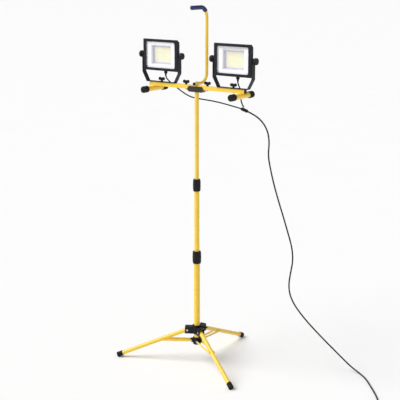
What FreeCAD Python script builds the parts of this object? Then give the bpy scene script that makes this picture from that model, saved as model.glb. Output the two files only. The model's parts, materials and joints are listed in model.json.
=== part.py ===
import FreeCAD, Part
import math
import os

os.makedirs("parts", exist_ok=True)
V = FreeCAD.Vector
X, Y, Z = V(1, 0, 0), V(0, 1, 0), V(0, 0, 1)

# Twin LED work light on a telescopic tripod. Millimetres. The origin is on the floor, under the mast's axis;
# +Z is up, the crossbar runs along X and the lamps face -Y.

# Mast: three steel tubes, (outer radius, inner radius, bottom, top) with the stand fully extended
LOWER = (16.0, 14.2, 95.0, 575.0)
MIDDLE = (13.5, 11.7, 470.0, 957.0)
UPPER = (11.0, 9.5, 870.0, 1436.0)
RUN_CLEAR = 0.08          # radial clearance of a sliding fit
BUSH_HIGH = 30.0
LOCK_LOW = (536.5, 601.0, 22.8)    # bottom, top and largest radius of each twist lock
LOCK_HIGH = (919.5, 982.0, 20.0)

# Tripod
LEG_AZIMUTHS = (210.0, 330.0, 90.0)
LEG_PIVOT = (50.0, 170.0)          # radius and height of the leg's pin
LEG_R = 11.0
LEG_SLOPE = 22.81                  # degrees below level when spread
LEG_LONG = 408.4
FOOT_R, FOOT_LONG = 13.5, 30.0
BRACE_PIVOT = (30.0, 113.0)        # radius and height of the brace's pin on the lower hub
BRACE_AT = 154.0                   # along the leg from its pin
BRACE_GAP = 12.2                   # from the leg's middle plane to the brace's inner face
BRACE_THICK, BRACE_WIDE = 2.5, 10.0
PIVOT_R = 3.0
CLAMP_AZIMUTH, CLAMP_Z = 30.0, 184.0

# Crossbar and what it carries
BAR_HALF, BAR_SIDE, BAR_WALL, BAR_Z = 291.0, 20.0, 1.6, 1450.0
BAR_TOP = BAR_Z + BAR_SIDE / 2
FOOT_BAR_X, FOOT_BAR_HALF, FOOT_BAR_R = 269.4, 88.0, 13.5
FOOT_BAR_Z = BAR_Z - BAR_SIDE / 2 - FOOT_BAR_R + 0.3
CAP_R, CAP_LONG, CAP_END = 17.0, 34.0, 94.0
INNER_KNOB_X, LAMP_X = 65.8, 222.3
STUD_R, STUD_CLEAR = 4.0, 0.06
HANDLE_R, HANDLE_BEND, HANDLE_BACK, HANDLE_TOP = 8.0, 50.0, 84.6, 1841.0
HANDLE_LOW, HANDLE_FRONT, HANDLE_END = BAR_TOP + HANDLE_R + 0.2, -36.0, -20.0
GRIP_R = 10.6

# Lamp, measured from its tilt axis
LAMP_Z = 1598.0
LAMP_HALF_X, LAMP_HALF_Z = 110.0, 79.0
BEZEL_FRONT, BEZEL_BACK, LIP = -12.0, -5.0, 3.0
GLASS_THICK = 3.8
TRAY_FACE = BEZEL_FRONT + LIP + GLASS_THICK
GLASS_HALF_X, GLASS_HALF_Z, WINDOW_ROUND = 92.5, 65.5, 10.0
GLASS_EDGE = 2.2          # how far the glass and the tray reach behind the bezel's lip
BODY_HALF_X, BODY_HALF_Z, BODY_BACK, BODY_WALL = 102.0, 71.0, 17.0, 3.0
DOME_BACK, DOME_IN = 29.0, 22.0
POCKET_HALF_X, POCKET_HALF_Z, POCKET_DEEP = 64.0, 50.5, 18.0
LED_HALF_X, LED_HALF_Z = 51.0, 36.5
YOKE_X, YOKE_THICK, YOKE_HALF_Y = 113.0, 3.0, 14.0
YOKE_KNEE, YOKE_IN, YOKE_FOOT = -88.0, 28.0, BAR_TOP - LAMP_Z + 0.3
GLAND_X, GLAND_Y = 19.0, 9.5

# Cords: outer diameters, and the points of each route
LEAD_D, MAINS_D = 6.5, 7.5
LEAD_LEFT = [(-203.3, 9.5, 1492.4), (-201, 12.5, 1480), (-191, 19.5, 1467), (-175, 29, 1450),
             (-152, 35, 1434), (-121, 37, 1415.5), (-88, 37, 1400), (-50, 36, 1390), (30, 34, 1386),
             (95, 34, 1382), (160, 32, 1374), (215, 29, 1366), (252, 27, 1361)]
LEAD_RIGHT = [(241.3, 9.5, 1492.4), (241.3, 12, 1480), (241, 20, 1465), (239, 27, 1446), (239, 29, 1423),
              (243, 29, 1401), (252, 28, 1383), (264, 29, 1369)]
SPLITTER = ((252, 27, 1361), (284, 32, 1350))
MAINS_UPPER = [(284, 32, 1350), (311, 47, 1335), (343, 68, 1306), (368, 86, 1257), (376, 91, 1197),
               (371, 88, 1132), (383, 95, 1060), (397, 106, 985), (416, 119, 905), (437, 133, 825),
               (456, 147, 745)]
MAINS_LOWER = [(456, 147, 745), (475, 161, 665), (481, 164, 595), (471, 157, 525), (464, 152, 455),
               (478, 162, 385), (519, 190, 310), (573, 229, 232), (632, 271, 155), (690, 312, 82),
               (735, 341, 28), (783, 344, 3.8), (838, 303, 3.8), (890, 247, 3.8), (942, 188, 3.8),
               (990, 131, 3.8), (1021, 85, 3.8), (1031, 40, 4.6), (1034, 5, 5.4)]
COIL_AT, COIL_IN, COIL_OUT, COIL_LOW, COIL_TOP = (1080.0, 5.0), 34.0, 50.0, 1.6, 16.8
TIE_THICK, TIE_HALF = 1.4, 9.0
PLUG_AT = (1080.0, -50.3, 18.2)    # start of the plug's strain relief, which points along +X
PLUG_R, PLUG_LONG, RELIEF_LONG = 18.0, 38.0, 36.0
PIN_R, PIN_LONG, PIN_APART = 2.4, 19.0, 19.0


def save(name, *shapes):
    shape = shapes[0] if len(shapes) == 1 else Part.makeCompound(list(shapes))
    shape.exportStep("parts/" + name + ".step")


def box(x0, x1, y0, y1, z0, z1):
    return Part.makeBox(x1 - x0, y1 - y0, z1 - z0, V(x0, y0, z0))


def rod(start, end, radius):
    start, end = V(*start), V(*end)
    return Part.makeCylinder(radius, (end - start).Length, start, end - start)


def pipe(start, end, outer, inner):
    return rod(start, end, outer).cut(rod(start, end, inner))


def prism_xz(outline, y0, y1):
    """An outline in X and Z, drawn out from y0 to y1."""
    points = [V(x, y0, z) for x, z in outline]
    return Part.Face(Part.makePolygon(points + points[:1])).extrude(V(0, y1 - y0, 0))


def rounded(half_x, half_z, y0, y1, radius):
    """A block with its long edges rounded, centred on the Y axis."""
    block = box(-half_x, half_x, y0, y1, -half_z, half_z)
    return block.makeFillet(radius, [e for e in block.Edges if e.tangentAt(0).cross(Y).Length < 1e-6])


def turned(profile):
    """A solid of revolution about Z from (radius, height) points."""
    points = [V(r, 0, z) for r, z in profile]
    return Part.Face(Part.makePolygon(points + points[:1])).revolve(V(0, 0, 0), Z, 360)


def at_azimuth(shape, degrees):
    """A copy of what was drawn along +X, turned to an azimuth."""
    copy = shape.copy()
    copy.rotate(V(0, 0, 0), Z, degrees)
    return copy


def moved(shape, x, y, z):
    copy = shape.copy()
    copy.translate(V(x, y, z))
    return copy


def corner(before, at, after, radius):
    """Where an arc round a route's corner starts, its middle and its end."""
    back, on = (before - at).normalize(), (after - at).normalize()
    half_turn = (math.pi - back.getAngle(on)) / 2
    reach = radius * math.tan(half_turn)
    inward = (back + on).normalize()
    middle = at + inward * (radius / math.cos(half_turn) - radius)
    return at + back * reach, middle, at + on * reach


def route_tube(name, route, diameter):
    """A round tube along straight runs joined by arcs as large as the runs allow."""
    points = [V(*p) for p in route]
    edges, here, radii = [], points[0], []
    for before, at, after in zip(points, points[1:], points[2:]):
        back, on = at - before, after - at
        half_turn = back.getAngle(on) / 2
        radii.append(0.45 * min(back.Length, on.Length) / math.tan(half_turn))
        start, middle, end = corner(before, at, after, radii[-1])
        edges += [Part.LineSegment(here, start).toShape(), Part.Arc(start, middle, end).toShape()]
        here = end
    edges.append(Part.LineSegment(here, points[-1]).toShape())
    path = Part.Wire(edges)
    circle = Part.Wire(Part.Circle(points[0], points[1] - points[0], diameter / 2).toShape())
    tube = path.makePipeShell([circle], True, False)
    share = tube.Volume / (path.Length * math.pi * diameter ** 2 / 4)
    least = min(radii) / diameter
    print(f"{name}: {path.Length:.0f} mm, least radius {least:.1f} diameters, volume {share:.4f}")
    return tube


# ---------------------------------------------------------------- mast and its locks
def mast_tube(outer, inner, low, high):
    return pipe((0, 0, low), (0, 0, high), outer, inner)


def twist_lock(lock, outer_tube, inner_tube):
    """A barrel-shaped collar that turns on the outer tube and lets the inner one slide."""
    low, high, radius = lock
    grip, nose = outer_tube[0] + RUN_CLEAR, inner_tube[0] + RUN_CLEAR
    shelf, ease = outer_tube[3] + 1, radius - 2.2
    barrel = [(ease, low), (radius - 0.6, low + 9), (radius, (low + high) / 2), (radius - 0.6, high - 9)]
    collar = turned([(grip, low)] + barrel + [(ease - 0.6, high), (nose, high), (nose, shelf), (grip, shelf)])
    flutes = [rod((radius + 1.6, 0, low + 12), (radius + 1.6, 0, high - 12), 2.4)]
    for k in range(1, 16):
        flutes.append(at_azimuth(flutes[0], k * 22.5))
    return collar.cut(flutes)


def make_mast():
    save("mast_tube_lower", mast_tube(*LOWER))
    save("mast_tube_middle", mast_tube(*MIDDLE))
    save("mast_tube_upper", mast_tube(*UPPER))
    save("guide_bush_middle", mast_tube(LOWER[1] - RUN_CLEAR, MIDDLE[0], MIDDLE[2], MIDDLE[2] + BUSH_HIGH))
    save("guide_bush_upper", mast_tube(MIDDLE[1] - RUN_CLEAR, UPPER[0], UPPER[2], UPPER[2] + BUSH_HIGH))
    save("twist_lock_lower", twist_lock(LOCK_LOW, LOWER, MIDDLE))
    save("twist_lock_upper", twist_lock(LOCK_HIGH, MIDDLE, UPPER))


# ---------------------------------------------------------------- tripod
def leg_frame(shape, degrees):
    """What was drawn along +X, sloped down, put at the leg's pin and turned to its azimuth."""
    copy = shape.copy()
    copy.rotate(V(0, 0, 0), Y, LEG_SLOPE)
    copy.translate(V(LEG_PIVOT[0], 0, LEG_PIVOT[1]))
    return at_azimuth(copy, degrees)


def cheeks(low, high, reach, half_out, half_in):
    lug = box(12, reach, -half_out, half_out, low, high)
    return lug.cut(box(24, reach + 1, -half_in, half_in, low - 1, high - 4))


def upper_hub():
    """A sliding collar with three pairs of cheeks for the legs and a boss for the clamp screw."""
    low, high, pin_x, pin_z = 152.0, 190.0, *LEG_PIVOT
    hub = rod((0, 0, low), (0, 0, high + 8), 23)
    lug = cheeks(low, high, pin_x + 12, 15.5, LEG_R + 0.5)
    hole = rod((pin_x, -20, pin_z), (pin_x, 20, pin_z), PIVOT_R)
    for azimuth in LEG_AZIMUTHS:
        hub = hub.fuse(at_azimuth(lug, azimuth)).cut(at_azimuth(hole, azimuth))
    boss = rod((10, 0, CLAMP_Z), (33, 0, CLAMP_Z), 8.5)
    hub = hub.fuse(at_azimuth(boss, CLAMP_AZIMUTH)).cut(rod((0, 0, 100), (0, 0, 250), LOWER[0] + RUN_CLEAR))
    stud_hole = rod((0, 0, CLAMP_Z), (40, 0, CLAMP_Z), STUD_R + STUD_CLEAR)
    return hub.cut(at_azimuth(stud_hole, CLAMP_AZIMUTH)).removeSplitter()


def lower_hub():
    """The fixed collar at the mast's foot, with a single lug for each pair of brace bars."""
    low, high = 95.0, 131.5
    hub = turned([(0, low - 3), (18, low - 3), (21, low), (21, high - 2), (19, high), (LOWER[0], high),
                  (LOWER[0], low), (0, low)])
    pin_x, pin_z = BRACE_PIVOT
    half = BRACE_GAP - 0.8
    lug = box(17, pin_x, -half, half, 104, 122).fuse(rod((pin_x, -half, pin_z), (pin_x, half, pin_z), 7))
    hole = rod((pin_x, -20, pin_z), (pin_x, 20, pin_z), PIVOT_R)
    for azimuth in LEG_AZIMUTHS:
        hub = hub.fuse(at_azimuth(lug, azimuth)).cut(at_azimuth(hole, azimuth))
    return hub.removeSplitter()


def rivet(radius, height, half_long, head_r):
    """A pin across +X at a radius and height, with a head at each end."""
    pin = rod((radius, -half_long, height), (radius, half_long, height), PIVOT_R)
    for side in (-1, 1):
        end = half_long * side
        pin = pin.fuse(rod((radius, end, height), (radius, end + 2 * side, height), head_r))
    return pin


def leg(azimuth):
    bore = rod((0, -20, 0), (0, 20, 0), 3 + STUD_CLEAR)
    tube = pipe((-9, 0, 0), (LEG_LONG - 3, 0, 0), LEG_R, LEG_R - 1.5).cut(bore)
    for side in (-1, 1):
        stud = rod((BRACE_AT, (LEG_R - 1.3) * side, 0), (BRACE_AT, (BRACE_GAP - 0.35) * side, 0), 5)
        tube = tube.fuse(stud)
    foot = rod((LEG_LONG - FOOT_LONG, 0, 0), (LEG_LONG, 0, 0), FOOT_R)
    foot = foot.cut(rod((LEG_LONG - FOOT_LONG - 1, 0, 0), (LEG_LONG - 3, 0, 0), LEG_R))
    ground = box(-600, 600, -600, 600, -20, 0)
    return leg_frame(tube, azimuth), leg_frame(foot, azimuth).cut(ground)


def brace(azimuth):
    """Two flat bars, one each side of the leg, from the lower hub's pin to the leg."""
    slope = math.radians(LEG_SLOPE)
    far = V(LEG_PIVOT[0] + BRACE_AT * math.cos(slope), 0, LEG_PIVOT[1] - BRACE_AT * math.sin(slope))
    near = V(BRACE_PIVOT[0], 0, BRACE_PIVOT[1])
    along = far - near
    bars = []
    for side in (-1, 1):
        y0, y1 = sorted((BRACE_GAP * side, (BRACE_GAP + BRACE_THICK) * side))
        bar = box(0, along.Length, y0, y1, -BRACE_WIDE / 2, BRACE_WIDE / 2)
        for x in (0, along.Length):
            bar = bar.fuse(rod((x, y0, 0), (x, y1, 0), BRACE_WIDE / 2))
        head = rod((along.Length, (BRACE_GAP + 1) * side, 0), (along.Length, (BRACE_GAP + 4.5) * side, 0), 4)
        hole = rod((0, -20, 0), (0, 20, 0), PIVOT_R + STUD_CLEAR)
        bar = bar.fuse(head).cut(hole).removeSplitter()
        bar.rotate(V(0, 0, 0), Y, -math.degrees(math.atan2(along.z, along.x)))
        bar.translate(near)
        bars.append(at_azimuth(bar, azimuth))
    return bars


def make_tripod():
    save("tripod_hub_upper", upper_hub())
    save("tripod_hub_lower", lower_hub())
    leg_pin, brace_pin = rivet(*LEG_PIVOT, 15.5, 5), rivet(*BRACE_PIVOT, BRACE_GAP + BRACE_THICK + 0.1, 5)
    save("leg_pins", *[at_azimuth(leg_pin, azimuth) for azimuth in LEG_AZIMUTHS])
    save("brace_pins", *[at_azimuth(brace_pin, azimuth) for azimuth in LEG_AZIMUTHS])
    for number, azimuth in enumerate(LEG_AZIMUTHS, 1):
        tube, foot = leg(azimuth)
        save(f"leg_tube_{number}", tube)
        save(f"leg_foot_{number}", foot)
        save(f"leg_brace_{number}", *brace(azimuth))


# ---------------------------------------------------------------- knobs
def wing_knob(stud_long):
    """A two-lobed screw standing on Z = 0: its stud goes down, and its wings are along X."""
    knob = rod((0, 0, 0.4), (0, 0, 12), 6)
    for side in (-1, 1):
        lobe = rod((10.5 * side, -3.5, 14.5), (10.5 * side, 3.5, 14.5), 8)
        knob = knob.fuse(lobe)
    knob = knob.fuse(box(-10.5, 10.5, -3.5, 3.5, 8.5, 20.5))
    knob = knob.fuse(rod((0, 0, 8), (0, 0, 17), 7))
    return knob.fuse(rod((0, 0, -stud_long), (0, 0, 1), STUD_R)).removeSplitter()


def disc_knob(side):
    """A fluted tilt knob on the lamp's side, screwed through the yoke's arm."""
    out = YOKE_X + YOKE_THICK + 0.3
    knob = rod((out * side, 0, 0), ((out + 6) * side, 0, 0), 8)
    disc = rod(((out + 5) * side, 0, 0), ((out + 20) * side, 0, 0), 17)
    rim = [e for e in disc.Edges if e.Length > 50]
    disc = disc.makeFillet(3, rim)
    for k in range(9):
        angle = math.radians(40 * k)
        y, z = 19.0 * math.cos(angle), 19.0 * math.sin(angle)
        disc = disc.cut(rod(((out + 4) * side, y, z), ((out + 21) * side, y, z), 4))
    knob = knob.fuse(disc)
    return knob.fuse(rod((100.5 * side, 0, 0), ((out + 1) * side, 0, 0), STUD_R)).removeSplitter()


def make_knobs():
    on_yoke = LAMP_Z + YOKE_FOOT + YOKE_THICK
    for name, side in (("left", -1), ("right", 1)):
        save(f"bar_screw_{name}", moved(wing_knob(24), side * INNER_KNOB_X, 0, BAR_TOP))
        save(f"yoke_screw_{name}", moved(wing_knob(26), side * LAMP_X, 0, on_yoke))
    hub_knob = wing_knob(13)
    hub_knob.rotate(V(0, 0, 0), Z, 70)
    hub_knob.rotate(V(0, 0, 0), Y, 90)
    save("hub_clamp_screw", at_azimuth(moved(hub_knob, 33.2, 0, CLAMP_Z), CLAMP_AZIMUTH))


# ---------------------------------------------------------------- crossbar, head and handle
def crossbar():
    half = BAR_SIDE / 2
    bar = box(-BAR_HALF, BAR_HALF, -half, half, BAR_Z - half, BAR_Z + half)
    inner = half - BAR_WALL
    bar = bar.cut(box(-BAR_HALF - 1, BAR_HALF + 1, -inner, inner, BAR_Z - inner, BAR_Z + inner))
    for x in (-LAMP_X, -INNER_KNOB_X, INNER_KNOB_X, LAMP_X):
        bar = bar.cut(rod((x, 0, BAR_Z - 20), (x, 0, BAR_Z + 20), STUD_R + STUD_CLEAR))
    return bar.cut(rod((0, 0, BAR_Z - 20), (0, 0, BAR_Z + 20), 3))


def bar_plug(side):
    inner = BAR_SIDE / 2 - BAR_WALL
    x0, x1 = sorted(((BAR_HALF - 14) * side, BAR_HALF * side))
    plug = box(x0, x1, -inner, inner, BAR_Z - inner, BAR_Z + inner)
    x0, x1 = sorted((BAR_HALF * side, (BAR_HALF + 2.5) * side))
    return plug.fuse(box(x0, x1, -10, 10, BAR_Z - 10, BAR_Z + 10))


def mast_head():
    """The black saddle that the crossbar sits in, over the top of the mast."""
    low, high, foot = 1427.0, 1455.0, BAR_Z - BAR_SIDE / 2
    saddle = prism_xz([(-51, 1438), (-40, high), (40, high), (51, 1438), (40, low), (-40, low)], -14.5, 14.5)
    saddle = saddle.cut(box(-60, 60, -10, 10, foot, high + 10))
    saddle = saddle.cut(rod((0, 0, low - 1), (0, 0, UPPER[3]), UPPER[0]))
    return saddle.cut(rod((0, 0, low), (0, 0, high), 3))


def handle_path():
    """The handle's line in the YZ plane: lower run, bend, upright, bend and top run."""
    low, top, back = HANDLE_LOW, HANDLE_TOP, HANDLE_BACK
    knee = back - HANDLE_BEND
    near = HANDLE_BEND * (1 - math.sqrt(0.5))
    runs = [
        Part.LineSegment(V(0, HANDLE_END, low), V(0, knee, low)),
        Part.Arc(V(0, knee, low), V(0, back - near, low + near), V(0, back, low + HANDLE_BEND)),
        Part.LineSegment(V(0, back, low + HANDLE_BEND), V(0, back, top - HANDLE_BEND)),
        Part.Arc(V(0, back, top - HANDLE_BEND), V(0, back - near, top - near), V(0, knee, top)),
        Part.LineSegment(V(0, knee, top), V(0, HANDLE_FRONT, top)),
    ]
    return [run.toShape() for run in runs]


def sweep(edges, radius):
    path = Part.Wire(edges)
    first = edges[0]
    circle = Part.Wire(Part.Circle(first.valueAt(0), first.tangentAt(0), radius).toShape())
    return path.makePipeShell([circle], True, False)


def handle():
    edges = handle_path()
    return sweep(edges, HANDLE_R).cut(sweep(edges, HANDLE_R - 1.4)).cut(rod((0, 0, 1400), (0, 0, 1500), 3))


def handle_grip():
    """A closed rubber sleeve over the top run and half of the bend."""
    knee, mid = HANDLE_BACK - HANDLE_BEND, math.radians(50)
    half = mid / 2

    def on_bend(angle):
        return V(0, knee + HANDLE_BEND * math.sin(angle), HANDLE_TOP - HANDLE_BEND * (1 - math.cos(angle)))

    edges = [Part.LineSegment(V(0, HANDLE_FRONT - 4, HANDLE_TOP), V(0, knee, HANDLE_TOP)).toShape(),
             Part.Arc(on_bend(0), on_bend(half), on_bend(mid)).toShape()]
    sleeve = sweep(edges, GRIP_R)
    inner = [Part.LineSegment(V(0, HANDLE_FRONT, HANDLE_TOP), V(0, knee, HANDLE_TOP)).toShape(), edges[1]]
    return sleeve.cut(sweep(inner, HANDLE_R))


def foot_bar(side):
    x = FOOT_BAR_X * side
    start, end = (x, -FOOT_BAR_HALF, FOOT_BAR_Z), (x, FOOT_BAR_HALF, FOOT_BAR_Z)
    tube = pipe(start, end, FOOT_BAR_R, FOOT_BAR_R - 1.5)
    return tube.cut(box(x - 15, x + 15, -10, 10, BAR_Z - BAR_SIDE / 2, BAR_Z))


def foot_cap(side, end):
    x = FOOT_BAR_X * side
    cap = rod((x, (CAP_END - CAP_LONG) * end, FOOT_BAR_Z), (x, CAP_END * end, FOOT_BAR_Z), CAP_R)
    cap = cap.makeFillet(2.5, [e for e in cap.Edges if e.Length > 50])
    return cap.cut(rod((x, 0, FOOT_BAR_Z), (x, FOOT_BAR_HALF * end, FOOT_BAR_Z), FOOT_BAR_R))


def make_head():
    save("crossbar", crossbar())
    save("mast_head_saddle", mast_head())
    save("foot_bars", foot_bar(-1), foot_bar(1))
    save("foot_bar_caps", *[foot_cap(s, e) for s in (-1, 1) for e in (-1, 1)])
    save("carry_handle", handle())
    save("carry_handle_grip", handle_grip())
    plug = rod((0, HANDLE_END - 3, HANDLE_LOW), (0, HANDLE_END, HANDLE_LOW), HANDLE_R)
    plug = plug.fuse(rod((0, HANDLE_END, HANDLE_LOW), (0, HANDLE_END + 10, HANDLE_LOW), HANDLE_R - 1.4))
    save("tube_end_plugs", plug, bar_plug(-1), bar_plug(1))
    bolt_top = HANDLE_LOW + HANDLE_R
    bolt, head = rod((0, 0, 1438), (0, 0, bolt_top + 1), 2.95), rod((0, 0, bolt_top), (0, 0, bolt_top + 3.5), 5.5)
    save("handle_bolt", bolt.fuse(head))


# ---------------------------------------------------------------- lamps, drawn about the tilt axis
def yoke():
    """A flat bar bent to a U that stands on the crossbar."""
    out, t, foot = YOKE_X, YOKE_THICK, YOKE_FOOT
    lean = t * 0.62
    left = [(-out - t, 0), (-out - t, YOKE_KNEE), (-out - t + YOKE_IN, foot)]
    right = [(-x, z) for x, z in reversed(left)]
    inside = [(out, 0), (out, YOKE_KNEE + lean), (out - YOKE_IN + lean, foot + t)]
    outline = left + right + inside + [(-x, z) for x, z in reversed(inside)]
    bar = prism_xz(outline, -YOKE_HALF_Y, YOKE_HALF_Y)
    for side in (-1, 1):
        x0, x1 = out * side, (out + t) * side
        bar = bar.fuse(rod((x0, 0, 0), (x1, 0, 0), YOKE_HALF_Y))
        bar = bar.cut(rod((x0 - side, 0, 0), (x1 + side, 0, 0), STUD_R + STUD_CLEAR))
    return bar.cut(rod((0, 0, foot - 1), (0, 0, foot + t + 1), STUD_R + STUD_CLEAR)).removeSplitter()


def bezel():
    frame = rounded(LAMP_HALF_X, LAMP_HALF_Z, BEZEL_FRONT, BEZEL_BACK, 4)
    front = [e for e in frame.Edges if e.BoundBox.YMax < BEZEL_FRONT + 1e-6]
    frame = frame.makeChamfer(1.2, front)
    frame = frame.cut(rounded(GLASS_HALF_X, GLASS_HALF_Z, BEZEL_FRONT - 1, BEZEL_BACK + 1, WINDOW_ROUND))
    rebate = rounded(GLASS_HALF_X + GLASS_EDGE + 0.5, GLASS_HALF_Z + GLASS_EDGE + 0.5, BEZEL_FRONT + LIP, BEZEL_BACK + 1, WINDOW_ROUND)
    return frame.cut(rebate)


def rectangle(half_x, half_z, y):
    return Part.makePolygon([V(-half_x, y, -half_z), V(half_x, y, -half_z), V(half_x, y, half_z),
                             V(-half_x, y, half_z), V(-half_x, y, -half_z)])


def shell_form(inset):
    """The back casing's outer form, or its hollow when inset by the wall."""
    hx, hz = BODY_HALF_X - inset, BODY_HALF_Z - inset
    form = rounded(hx, hz, BEZEL_BACK, BODY_BACK, 8 - inset)
    dome = Part.makeLoft([rectangle(hx - 4, hz - 4, BODY_BACK - 0.001),
                          rectangle(hx - DOME_IN, hz - DOME_IN, DOME_BACK - inset)], True, True)
    return form.fuse(dome)


def casing():
    """The cast back with its cooling fins, side bosses and cable entry."""
    body = shell_form(0).cut(shell_form(BODY_WALL))
    for k in range(-5, 6):
        x = 13.0 * k
        fin = box(x - 1.1, x + 1.1, DOME_BACK - 5, DOME_BACK + 5, -44, 44)
        body = body.fuse(fin.cut(shell_form(BODY_WALL)))
    for side in (-1, 1):
        body = body.fuse(rod(((BODY_HALF_X - BODY_WALL) * side, 0, 0), ((YOKE_X - 0.4) * side, 0, 0), 10))
    cut = [rod((96 * side, 0, 0), (120 * side, 0, 0), STUD_R + STUD_CLEAR) for side in (-1, 1)]
    cut.append(rod((GLAND_X, GLAND_Y, -80), (GLAND_X, GLAND_Y, -60), 5))
    front = rounded(LAMP_HALF_X, LAMP_HALF_Z, BEZEL_FRONT - 1, BEZEL_BACK, 4)
    return body.cut(cut).cut(front).removeSplitter()


def reflector():
    """The white tray behind the glass, with a tapered pocket down to the LEDs."""
    face, thick = TRAY_FACE, 1.5
    back = face + POCKET_DEEP
    outer = Part.makeLoft([rectangle(POCKET_HALF_X + thick, POCKET_HALF_Z + thick, face),
                           rectangle(LED_HALF_X + 2 + thick, LED_HALF_Z + 2 + thick, back)], True, True)
    inner = Part.makeLoft([rectangle(POCKET_HALF_X, POCKET_HALF_Z, face),
                           rectangle(LED_HALF_X + 2, LED_HALF_Z + 2, back)], True, True)
    plate = rounded(GLASS_HALF_X + GLASS_EDGE, GLASS_HALF_Z + GLASS_EDGE, face, face + thick, WINDOW_ROUND)
    plate = plate.cut(box(-POCKET_HALF_X, POCKET_HALF_X, face - 1, face + 4, -POCKET_HALF_Z, POCKET_HALF_Z))
    return plate.fuse(outer.cut(inner)).removeSplitter()


def gland():
    low = -BODY_HALF_Z
    body = pipe((GLAND_X, GLAND_Y, low - 12), (GLAND_X, GLAND_Y, low), 7.5, LEAD_D / 2)
    nut = pipe((GLAND_X, GLAND_Y, low - 20), (GLAND_X, GLAND_Y, low - 12), 9, LEAD_D / 2)
    sleeve = Part.makeCone(LEAD_D / 2 + 0.6, 6, 14, V(GLAND_X, GLAND_Y, low - 34), Z)
    sleeve = sleeve.cut(rod((GLAND_X, GLAND_Y, low - 35), (GLAND_X, GLAND_Y, low - 20), LEAD_D / 2))
    return body.fuse(nut).fuse(sleeve).removeSplitter()


def make_lamps():
    board_y = TRAY_FACE + POCKET_DEEP
    half_x, half_z = GLASS_HALF_X + GLASS_EDGE, GLASS_HALF_Z + GLASS_EDGE
    glass = rounded(half_x, half_z, BEZEL_FRONT + LIP, TRAY_FACE, WINDOW_ROUND)
    half_x, half_z = LED_HALF_X + 3.4, LED_HALF_Z + 3.4
    board = box(-half_x, half_x, board_y, board_y + 2, -half_z, half_z)
    driver = box(-40, 40, board_y + 2.2, DOME_BACK - BODY_WALL - 0.5, -25, 25)
    pieces = {"bezel": bezel(), "casing": casing(), "glass": glass, "reflector": reflector(),
              "led_module": Part.makeCompound([board, driver]), "cable_gland": gland(), "yoke": yoke()}
    for name, side in (("left", -1), ("right", 1)):
        knobs = {"knob_outer": disc_knob(side), "knob_inner": disc_knob(-side)}
        for piece, shape in {**pieces, **knobs}.items():
            save(f"{piece}_{name}", moved(shape, side * LAMP_X, 0, LAMP_Z))


# ---------------------------------------------------------------- cords
def make_cords():
    save("lead_left", route_tube("lead_left", LEAD_LEFT, LEAD_D))
    save("lead_right", route_tube("lead_right", LEAD_RIGHT, LEAD_D))
    save("mains_cord_upper", route_tube("mains_cord_upper", MAINS_UPPER, MAINS_D))
    save("mains_cord_lower", route_tube("mains_cord_lower", MAINS_LOWER, MAINS_D))
    save("cord_splitter", rod(*SPLITTER, 8))
    x, y = COIL_AT
    section = [(COIL_IN, COIL_LOW), (COIL_OUT, COIL_LOW), (COIL_OUT, COIL_TOP), (COIL_IN, COIL_TOP)]
    ring = moved(turned(section), x, y, 0)
    save("cord_coil", ring)
    band = box(x + COIL_IN - TIE_THICK, x + COIL_OUT + TIE_THICK, y - TIE_HALF, y + TIE_HALF,
               COIL_LOW - TIE_THICK, COIL_TOP + TIE_THICK)
    save("coil_tie", band.cut(ring).cut(box(x, x + COIL_IN, y - 20, y + 20, COIL_LOW, COIL_TOP)))


def make_plug():
    x, y, z = PLUG_AT
    start, end = x + RELIEF_LONG, x + RELIEF_LONG + PLUG_LONG
    relief = Part.makeCone(5, 9, RELIEF_LONG, V(x, y, z), X)
    save("plug_body", rod((start, y, z), (end, y, z), PLUG_R).fuse(relief))
    heights = (z - PIN_APART / 2, z + PIN_APART / 2)
    save("plug_pins", *[rod((end, y, pin_z), (end + PIN_LONG, y, pin_z), PIN_R) for pin_z in heights])


make_mast()
make_tripod()
make_knobs()
make_head()
make_lamps()
make_cords()
make_plug()
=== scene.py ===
"""Looks of the twin LED work light: camera, cords, materials, small details, floor and lights. Metres."""
import math

import bmesh
import bpy
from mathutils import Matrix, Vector
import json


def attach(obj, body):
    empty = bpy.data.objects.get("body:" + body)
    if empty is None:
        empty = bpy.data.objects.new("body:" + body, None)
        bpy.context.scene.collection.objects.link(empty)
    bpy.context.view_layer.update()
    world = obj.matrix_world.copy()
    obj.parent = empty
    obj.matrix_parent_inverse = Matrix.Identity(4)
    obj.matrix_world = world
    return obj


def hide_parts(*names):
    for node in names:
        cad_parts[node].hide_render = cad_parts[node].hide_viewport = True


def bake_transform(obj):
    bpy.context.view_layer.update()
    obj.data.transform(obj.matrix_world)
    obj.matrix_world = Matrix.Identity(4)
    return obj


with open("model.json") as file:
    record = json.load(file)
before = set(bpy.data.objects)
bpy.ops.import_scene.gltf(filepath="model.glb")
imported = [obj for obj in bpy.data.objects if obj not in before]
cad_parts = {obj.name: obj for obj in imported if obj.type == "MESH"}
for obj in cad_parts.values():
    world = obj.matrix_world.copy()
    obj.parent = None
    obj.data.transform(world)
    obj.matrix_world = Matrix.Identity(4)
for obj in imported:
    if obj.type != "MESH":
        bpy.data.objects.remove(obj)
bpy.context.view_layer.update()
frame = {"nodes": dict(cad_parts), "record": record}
scene = bpy.context.scene
NODES = frame["nodes"]
SIDES = (("left", -1), ("right", 1))
LAMP_X, LAMP_Z = 0.2223, 1.598


# ---------------------------------------------------------------- camera
CAMERA_AT = (3.071, -4.132, 2.094)
CAMERA_DEGREES = (76.65, 0, 36.44)
LENS_MM, SENSOR_MM, VIEW_END = 93.1, 36.0, 200.0


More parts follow.
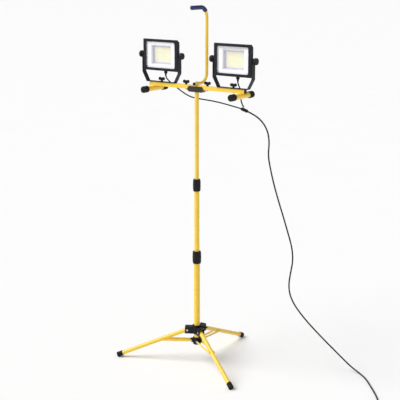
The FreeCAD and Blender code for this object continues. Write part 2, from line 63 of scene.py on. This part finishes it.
def make_camera():
    data = bpy.data.cameras.new("camera")
    data.sensor_width = SENSOR_MM
    data.lens = LENS_MM
    data.clip_end = VIEW_END
    camera = bpy.data.objects.new("camera", data)
    camera.location = CAMERA_AT
    camera.rotation_euler = [math.radians(turn) for turn in CAMERA_DEGREES]
    scene.collection.objects.link(camera)
    scene.camera = camera


make_camera()


# ---------------------------------------------------------------- cords
LEAD_R, MAINS_R = 0.00325, 0.00375
LEAD_LEFT = [(-0.2033, 0.0095, 1.4924), (-0.201, 0.0125, 1.48), (-0.191, 0.0195, 1.467),
             (-0.175, 0.029, 1.45), (-0.152, 0.035, 1.434), (-0.121, 0.037, 1.4155), (-0.088, 0.037, 1.4),
             (-0.05, 0.036, 1.39), (0.03, 0.034, 1.386), (0.095, 0.034, 1.382), (0.16, 0.032, 1.374),
             (0.215, 0.029, 1.366), (0.252, 0.027, 1.361)]
LEAD_RIGHT = [(0.2413, 0.0095, 1.4924), (0.2413, 0.013, 1.48), (0.241, 0.025, 1.465), (0.239, 0.034, 1.446),
              (0.239, 0.037, 1.423), (0.243, 0.036, 1.401), (0.252, 0.031, 1.383), (0.264, 0.029, 1.369)]
MAINS_UPPER = [(0.284, 0.032, 1.35), (0.311, 0.047, 1.335), (0.343, 0.068, 1.306), (0.368, 0.086, 1.257),
               (0.376, 0.091, 1.197), (0.371, 0.088, 1.132), (0.383, 0.095, 1.06), (0.397, 0.106, 0.985),
               (0.416, 0.119, 0.905), (0.437, 0.133, 0.825), (0.456, 0.147, 0.745)]
MAINS_LOWER = [(0.475, 0.161, 0.665), (0.481, 0.164, 0.595), (0.471, 0.157, 0.525), (0.464, 0.152, 0.455),
               (0.478, 0.162, 0.385), (0.519, 0.19, 0.31), (0.573, 0.229, 0.232), (0.632, 0.271, 0.155),
               (0.69, 0.312, 0.082), (0.735, 0.341, 0.028), (0.783, 0.344, 0.0038), (0.838, 0.303, 0.0038),
               (0.89, 0.247, 0.0038), (0.942, 0.188, 0.0038), (0.99, 0.131, 0.0038), (1.021, 0.085, 0.0038),
               (1.031, 0.04, 0.0046)]
COIL_AT = (1.08, 0.005)
COIL_TIGHT, COIL_WIDE, COIL_LOOSE = 0.038, 0.046, 0.0545
COIL_LOW, COIL_HIGH, PLUG_HIGH = 0.00535, 0.01305, 0.0182
COIL_TURNS, PER_TURN = 4.2, 20
SHIFT = 0.25  # the share of a turn that a step takes
# Each step of the coil: the turn at which it starts, and the radius and height that it leads to
COIL_STEPS = [(0.75, COIL_TIGHT, COIL_LOW), (1.64, COIL_TIGHT, COIL_HIGH), (2.53, COIL_WIDE, COIL_HIGH),
              (3.53, COIL_LOOSE, COIL_HIGH), (3.97, COIL_LOOSE + 0.0008, PLUG_HIGH)]
PLUG_START = (1.080, -0.0503, PLUG_HIGH)
TAIL = [(1.0760, *PLUG_START[1:]), (1.0880, *PLUG_START[1:])]
JOIN_Z = 0.745  # where the mains cord passes from its upper tube to its lower one
OVER_BAR_Z = 1.478  # a height that a lead's first tube passes below
LEFT_SPLIT, RIGHT_SPLIT = 0.042, 0.045  # length of each lead's first tube
SETTLED = 0.05  # a length along a lead's second tube
SHARP = math.radians(40)


def coil_points():
    """A wide and a tight turn on the floor, tight to wide turns on top of them, then out to the plug."""
    swell = 1 / math.cos(math.pi / PER_TURN)
    points = []
    for k in range(round(PER_TURN * COIL_TURNS) + 1):
        turn = k / PER_TURN
        radius, height = COIL_WIDE, COIL_LOW
        for start, next_radius, next_height in COIL_STEPS:
            share = min(max((turn - start) / SHIFT, 0.0), 1.0)
            ease = (1 - math.cos(math.pi * share)) / 2
            radius += (next_radius - radius) * ease
            height += (next_height - height) * ease
        angle = math.pi + 2 * math.pi * turn
        place = Vector((math.cos(angle), math.sin(angle), 0)) * radius * swell
        points.append((COIL_AT[0] + place.x, COIL_AT[1] + place.y, height))
    return points


def smooth_line(points):
    """Points read from a NURBS spline that has the route's points as its control points."""
    data = bpy.data.curves.new("route", "CURVE")
    data.dimensions = "3D"
    data.resolution_u = 8
    spline = data.splines.new("NURBS")
    spline.points.add(len(points) - 1)
    for point, place in zip(spline.points, points):
        point.co = (*place, 1)
    spline.order_u = 3
    spline.use_endpoint_u = True
    carrier = bpy.data.objects.new("route", data)
    scene.collection.objects.link(carrier)
    mesh = bpy.data.meshes.new_from_object(carrier)
    line = [v.co.copy() for v in mesh.vertices]
    bpy.data.objects.remove(carrier)
    return [p for k, p in enumerate(line) if k == 0 or (p - line[k - 1]).length > 1e-5]


def skin(bm, rings):
    """Faces from each ring to the next, and a cap on each end."""
    for a, b in zip(rings, rings[1:]):
        for k in range(len(a)):
            after = (k + 1) % len(a)
            bm.faces.new((a[k], a[after], b[after], b[k]))
    bm.faces.new(list(reversed(rings[0])))
    bm.faces.new(rings[-1])


def turns(sides):
    return [2 * math.pi * k / sides for k in range(sides)]


def tube(name, line, radius, sides=16):
    """A closed round tube along a line, kept from twisting by carrying its frame along."""
    bm = bmesh.new()
    rings, normal = [], None
    for k, place in enumerate(line):
        along = (line[min(k + 1, len(line) - 1)] - line[max(k - 1, 0)]).normalized()
        if normal is None:
            normal = along.orthogonal().normalized()
        normal = (normal - along * normal.dot(along)).normalized()
        other = along.cross(normal)
        rings.append([bm.verts.new(place + (normal * math.cos(t) + other * math.sin(t)) * radius)
                      for t in turns(sides)])
    skin(bm, rings)
    return add_mesh(name, bm)


def add_mesh(name, bm):
    bmesh.ops.recalc_face_normals(bm, faces=bm.faces)
    mesh = bpy.data.meshes.new(name)
    bm.to_mesh(mesh)
    bm.free()
    mesh.shade_smooth()
    mesh.set_sharp_from_angle(angle=SHARP)
    piece = bpy.data.objects.new(name, mesh)
    scene.collection.objects.link(piece)
    return piece


def split_line(line, length):
    """The line cut in two at a distance along it, with a shared point."""
    run = 0.0
    for k in range(1, len(line)):
        run += (line[k] - line[k - 1]).length
        if run >= length:
            return line[:k + 1], line[k:]
    return line, []


def make_lead(name, points, split_at, lamp, yoke):
    """A lead in two tubes, from the lamp to its bracket and from the bracket to the mast."""
    near, far = split_line(smooth_line(points), split_at)
    over_bar = next(p for p in near if p.z < OVER_BAR_Z)
    settled, _ = split_line(far, SETTLED)
    for part, piece_line, bodies, end in (("a", near, (lamp, yoke), over_bar),
                                          ("b", far, (yoke, "mast_upper"), settled[-1])):
        piece = tube(f"{name}_{part}", piece_line, LEAD_R)
        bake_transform(piece)
        if part == "b":
            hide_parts(name)
        cords.append(piece)


# The plug's outline: distance along its axis, and radius
PLUG_SIDES = 40
RELIEF_START = [(0.0, 0.0043), (0.0004, 0.005)]
RELIEF_RINGS, RELIEF_PITCH, RELIEF_SWELL = 6, 0.0048, 0.00055
RELIEF_RING = [(0.0, 0.0), (0.0030, 0.0003), (0.0032, -0.0012), (0.0046, -0.0010)]
PLUG_BODY = [(0.0345, 0.0090), (0.0362, 0.0150), (0.0385, 0.0172), (0.046, 0.0160), (0.056, 0.0160),
             (0.063, 0.0178), (0.0725, 0.0178), (0.0738, 0.0168)]


def make_plug():
    """The plug's relief and body turned about its axis, with flexing rings and a finger grip."""
    x0, y0, z0 = PLUG_START
    profile = list(RELIEF_START)
    for ring in range(RELIEF_RINGS):
        start, radius = 0.003 + ring * RELIEF_PITCH, 0.0052 + ring * RELIEF_SWELL
        profile += [(start + along, radius + out) for along, out in RELIEF_RING]
    profile += PLUG_BODY
    bm = bmesh.new()
    skin(bm, [[bm.verts.new((x0 + along, y0 + radius * math.cos(t), z0 + radius * math.sin(t)))
               for t in turns(PLUG_SIDES)] for along, radius in profile])
    piece = add_mesh("plug", bm)
    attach(piece, "mast_lower")
    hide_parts("plug_body")
    return piece


def make_mains():
    """The mains cord in two tubes, from the splitter down to its middle and on to the coil and plug."""
    line = smooth_line(MAINS_UPPER + MAINS_LOWER + coil_points() + TAIL)
    cut = next(k for k, p in enumerate(line) if p.z < JOIN_Z)
    upper, lower = line[:cut + 1], line[cut:]
    piece = tube("mains_upper", upper, MAINS_R)
    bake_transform(piece)
    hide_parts("mains_cord_upper")
    cords.append(piece)
    piece = tube("mains_lower", lower, MAINS_R)
    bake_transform(piece)
    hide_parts("mains_cord_lower", "cord_coil")
    cords.append(piece)


cords = []
plug_piece = make_plug()
make_lead("lead_left", LEAD_LEFT, LEFT_SPLIT, "lamp_left", "bracket_left")
make_lead("lead_right", LEAD_RIGHT, RIGHT_SPLIT, "lamp_right", "bracket_right")
make_mains()


# ---------------------------------------------------------------- materials
NOISE_MIDDLE = (0.3, 0.7)


def ramp(tree, value, start, end, low, high):
    node = tree.nodes.new("ShaderNodeMapRange")
    for socket, number in (("From Min", start), ("From Max", end), ("To Min", low), ("To Max", high)):
        node.inputs[socket].default_value = number
    tree.links.new(value, node.inputs["Value"])
    return node.outputs["Result"]


class Finish:
    """A node material made of noise-driven colour, roughness and bump."""

    def __init__(self, name, rough=0.5, metallic=0.0, **inputs):
        self.material = bpy.data.materials.new(name)
        self.material.use_nodes = True
        self.tree = self.material.node_tree
        self.shader = self.tree.nodes["Principled BSDF"]
        self.shader.inputs["Roughness"].default_value = rough
        self.shader.inputs["Metallic"].default_value = metallic
        for socket, value in inputs.items():
            self.shader.inputs[socket.replace("_", " ")].default_value = value
        self.place = self.tree.nodes.new("ShaderNodeTexCoord").outputs["Object"]

    def link(self, a, b):
        self.tree.links.new(a, b)

    def noise(self, scale, detail=4.0):
        node = self.tree.nodes.new("ShaderNodeTexNoise")
        node.inputs["Scale"].default_value = scale
        node.inputs["Detail"].default_value = detail
        self.link(self.place, node.inputs["Vector"])
        return node.outputs["Fac"]

    def ramp(self, value, start, end, low=0.0, high=1.0):
        """From low to high as the value goes from start to end."""
        return ramp(self.tree, value, start, end, low, high)

    def spread(self, value, low, high):
        """The middle of a noise's range, stretched from low to high."""
        return self.ramp(value, *NOISE_MIDDLE, low, high)

    def along(self, axis, start, end):
        """From 0 to 1 as a place's coordinate goes from start to end."""
        split = self.tree.nodes.new("ShaderNodeSeparateXYZ")
        self.link(self.place, split.inputs["Vector"])
        return self.ramp(split.outputs[axis], start, end)

    def colour(self, fac, low, high):
        node = self.tree.nodes.new("ShaderNodeMix")
        node.data_type = "RGBA"
        node.inputs["A"].default_value = (*low, 1)
        node.inputs["B"].default_value = (*high, 1)
        self.link(fac, node.inputs["Factor"])
        self.link(node.outputs["Result"], self.shader.inputs["Base Color"])

    def mottle(self, scale, low, high):
        """A colour that drifts between two."""
        self.colour(self.spread(self.noise(scale), 0, 1), low, high)

    def rough(self, fac, low, high):
        self.link(self.spread(fac, low, high), self.shader.inputs["Roughness"])

    def bump(self, height, depth):
        node = self.tree.nodes.new("ShaderNodeBump")
        node.inputs["Distance"].default_value = depth
        node.inputs["Strength"].default_value = 1.0
        self.link(height, node.inputs["Height"])
        self.link(node.outputs["Normal"], self.shader.inputs["Normal"])


TRAY_SHADE_DEPTHS = (-0.0036, 0.004)  # y of the tray's face, and of a depth in its pocket, over which painted shade darkens the white
RED_TIP = (0.0415, 0.0425)  # x at which the saddle turns red


def painted(name, low, high, rough, peel_scale, peel, coat=0.0, specular=0.5):
    """Paint with orange peel, a little unevenness of colour and patches of duller gloss."""
    finish = Finish(name, Coat_Weight=coat, Coat_Roughness=0.12, Specular_IOR_Level=specular)
    finish.mottle(14, low, high)
    finish.rough(finish.noise(60), *rough)
    finish.bump(finish.noise(peel_scale, 2), peel)
    return finish.material


def moulded(name, low, high, rough, grain_scale, grain):
    """Moulded plastic or rubber with a fine spark-eroded grain."""
    finish = Finish(name, Specular_IOR_Level=0.2)
    finish.mottle(40, low, high)
    finish.rough(finish.noise(220), *rough)
    finish.bump(finish.noise(grain_scale, 6), grain)
    return finish.material


def metal(name, low, high, rough):
    finish = Finish(name, metallic=1.0)
    finish.mottle(90, low, high)
    finish.rough(finish.noise(400, 5), *rough)
    finish.bump(finish.noise(900, 3), 0.00004)
    return finish.material


def clear_glass():
    finish = Finish("clear_glass", IOR=1.5, Alpha=0.07)
    finish.mottle(3, (0.96, 0.97, 1.0), (1.0, 1.0, 1.0))
    finish.rough(finish.noise(25), 0.05, 0.09)
    return finish.material


def white_tray():
    """Gloss white sheet: pure white on its face, with painted shade making it lavender-grey down in the
    pocket.
    """
    finish = Finish("white_tray")
    # painted shade: the white darkens to lavender-grey towards the depth of the pocket
    finish.colour(finish.along("Y", *TRAY_SHADE_DEPTHS), (0.98, 0.98, 0.99), (0.52, 0.50, 0.68))
    finish.rough(finish.noise(120), 0.22, 0.34)
    finish.bump(finish.noise(300, 2), 0.00004)
    return finish.material


def phosphor():
    finish = Finish("led_phosphor")
    finish.mottle(350, (0.93, 0.88, 0.50), (0.98, 0.95, 0.66))
    finish.rough(finish.noise(900), 0.35, 0.5)
    finish.bump(finish.noise(2500, 3), 0.00003)
    return finish.material


def grip_foam():
    finish = Finish("navy_grip", Specular_IOR_Level=0.4)
    finish.mottle(120, (0.008, 0.012, 0.085), (0.016, 0.026, 0.14))
    finish.rough(finish.noise(500), 0.45, 0.62)
    finish.bump(finish.noise(1400, 5), 0.00012)
    return finish.material


def saddle_plastic():
    """Dark charcoal moulding with a dark-red tip at the right-hand end."""
    finish = Finish("saddle", Specular_IOR_Level=0.4)
    finish.colour(finish.along("X", *RED_TIP), (0.022, 0.018, 0.02), (0.12, 0.015, 0.012))
    finish.rough(finish.noise(220), 0.35, 0.5)
    finish.bump(finish.noise(1500, 5), 0.00006)
    return finish.material


MATERIALS = {
    "yellow_paint": painted("yellow_paint", (0.86, 0.56, 0.035), (0.93, 0.62, 0.05),
                            (0.24, 0.34), 260, 0.00006, 0.25),
    "black_plastic": moulded("black_plastic", (0.005, 0.005, 0.006), (0.011, 0.011, 0.012),
                             (0.32, 0.46), 1300, 0.00006),
    "nylon": moulded("nylon", (0.70, 0.70, 0.67), (0.80, 0.80, 0.77), (0.4, 0.55), 900, 0.00003),
    "black_rubber": moulded("black_rubber", (0.006, 0.006, 0.006), (0.012, 0.012, 0.013),
                            (0.55, 0.72), 900, 0.00012),
    "navy_grip": grip_foam(),
    "zinc_steel": metal("zinc_steel", (0.55, 0.56, 0.58), (0.70, 0.70, 0.71), (0.26, 0.40)),
    "black_powder_coat": painted("black_powder_coat", (0.009, 0.009, 0.015), (0.016, 0.016, 0.025),
                                 (0.36, 0.5), 1100, 0.00005, specular=0.2),
    "clear_glass": clear_glass(),
    "white_tray": white_tray(),
    "led_yellow": phosphor(),
    "cord_rubber": moulded("cord_rubber", (0.004, 0.004, 0.005), (0.009, 0.009, 0.010),
                           (0.42, 0.56), 700, 0.00008),
    "led_board": painted("led_board", (0.88, 0.88, 0.84), (0.94, 0.94, 0.90), (0.35, 0.45), 700, 0.00003),
    "saddle": saddle_plastic(),
}
OWN_FINISH = {"mast_head_saddle": "saddle", "led_module_left": "led_board", "led_module_right": "led_board"}


def dress(piece, material):
    piece.data.materials.clear()
    piece.data.materials.append(MATERIALS[material])


for part in frame["record"]["subparts"]:
    dress(NODES[part["node"]], OWN_FINISH.get(part["node"], part["material_slot"]))
for cord_piece in cords:
    dress(cord_piece, "cord_rubber")
dress(plug_piece, "black_rubber")


# ---------------------------------------------------------------- details
def ride(piece, body, slot):
    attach(piece, body)
    dress(piece, slot)


CHIP_COLUMNS, CHIP_ROWS = 10, 8
CHIP_PITCH_X, CHIP_PITCH_Z = 0.0101, 0.0090
CHIP_HALF_X, CHIP_HALF_Z = 0.0042, 0.0037
CHIP_LOOPS = ((0.0, 0.00002), (0.0, 0.00054), (0.0006, 0.0009))  # how far in, and how far out of the board
BOARD_Y = 0.0128


def make_chips(name, side):
    """The grid of LED chips: each a low pillow with a narrower face."""
    bm = bmesh.new()
    for column in range(CHIP_COLUMNS):
        for row in range(CHIP_ROWS):
            x = side * LAMP_X + (column - (CHIP_COLUMNS - 1) / 2) * CHIP_PITCH_X
            z = LAMP_Z + (row - (CHIP_ROWS - 1) / 2) * CHIP_PITCH_Z
            rings = []
            for inset, out in CHIP_LOOPS:
                hx, hz = CHIP_HALF_X - inset, CHIP_HALF_Z - inset
                corners = ((-hx, -hz), (hx, -hz), (hx, hz), (-hx, hz))
                rings.append([bm.verts.new((x + cx, BOARD_Y - out, z + cz)) for cx, cz in corners])
            skin(bm, rings)
    ride(add_mesh(f"led_chips_{name}", bm), f"lamp_{name}", "led_yellow")


SCREW_SIDES, SCREW_R, SCREW_X, SCREW_Z = 24, 0.0034, 0.094, 0.063
# The head's outline, out of the casing and down its socket: radius, y, and whether it is a hexagon there
SCREW_RINGS = ((SCREW_R, 0.017, False), (SCREW_R, 0.0225, False), (SCREW_R * 0.8, 0.0231, False),
               (SCREW_R * 0.5, 0.0232, True), (SCREW_R * 0.5, 0.0225, True))


def hexagon(turn):
    """How far out a hexagon's side is at a turn, its flats being at cos 30 degrees."""
    return math.cos(math.pi / 6) / math.cos(turn % (math.pi / 3) - math.pi / 6)


def socket_screw(bm, x, z):
    """A screw head with a hexagonal socket, standing out of the casing's slope, facing +Y."""
    rings = []
    for radius, y, hexagonal in SCREW_RINGS:
        reach = [(t, radius * (hexagon(t) if hexagonal else 1)) for t in turns(SCREW_SIDES)]
        rings.append([bm.verts.new((x + r * math.cos(t), y, z + r * math.sin(t))) for t, r in reach])
    skin(bm, rings)


def make_back_screws(name, side):
    bm = bmesh.new()
    for x in (-SCREW_X, SCREW_X):
        for z in (-SCREW_Z, SCREW_Z):
            socket_screw(bm, side * LAMP_X + x, LAMP_Z + z)
    ride(add_mesh(f"back_screws_{name}", bm), f"lamp_{name}", "zinc_steel")


for side_name, side_sign in SIDES:
    make_chips(side_name, side_sign)
    make_back_screws(side_name, side_sign)


# ---------------------------------------------------------------- floor and light
FLOOR_HALF = 80.0
KEY_FROM, KEY_SPREAD, KEY_STRENGTH = (-1.6, -1.7, 2.7), 45, 2.7
# The world's light, over the height that it comes from: the heights, and the strengths at them
SKY_HEIGHTS, SKY_STRENGTHS = (0.1, 0.35), (1.0, 0.36)


def make_floor():
    bm = bmesh.new()
    corners = ((-1, -1), (1, -1), (1, 1), (-1, 1))
    bm.faces.new([bm.verts.new((x * FLOOR_HALF, y * FLOOR_HALF, 0)) for x, y in corners])
    floor = add_mesh("floor", bm)
    finish = Finish("floor", rough=0.9)
    finish.mottle(2, (0.94, 0.94, 0.94), (0.95, 0.95, 0.95))
    floor.data.materials.append(finish.material)


def make_key_light():
    """Wide, even light from one direction."""
    data = bpy.data.lights.new("key", "SUN")
    data.angle = math.radians(KEY_SPREAD)
    data.energy = KEY_STRENGTH
    lamp = bpy.data.objects.new("key", data)
    lamp.location = KEY_FROM
    lamp.rotation_euler = (-Vector(KEY_FROM)).to_track_quat("-Z", "Y").to_euler()
    scene.collection.objects.link(lamp)


def make_world():
    """White light from all round, weaker from above than from the horizon."""
    world = bpy.data.worlds.new("studio")
    world.use_nodes = True
    tree = world.node_tree
    sky = tree.nodes["Background"]
    sky.inputs["Color"].default_value = (1, 1, 1, 1)
    split = tree.nodes.new("ShaderNodeSeparateXYZ")
    tree.links.new(tree.nodes.new("ShaderNodeTexCoord").outputs["Generated"], split.inputs["Vector"])
    strength = ramp(tree, split.outputs["Z"], *SKY_HEIGHTS, *SKY_STRENGTHS)
    tree.links.new(strength, sky.inputs["Strength"])
    scene.world = world


make_floor()
make_key_light()
make_world()
scene.view_settings.view_transform = "Standard"
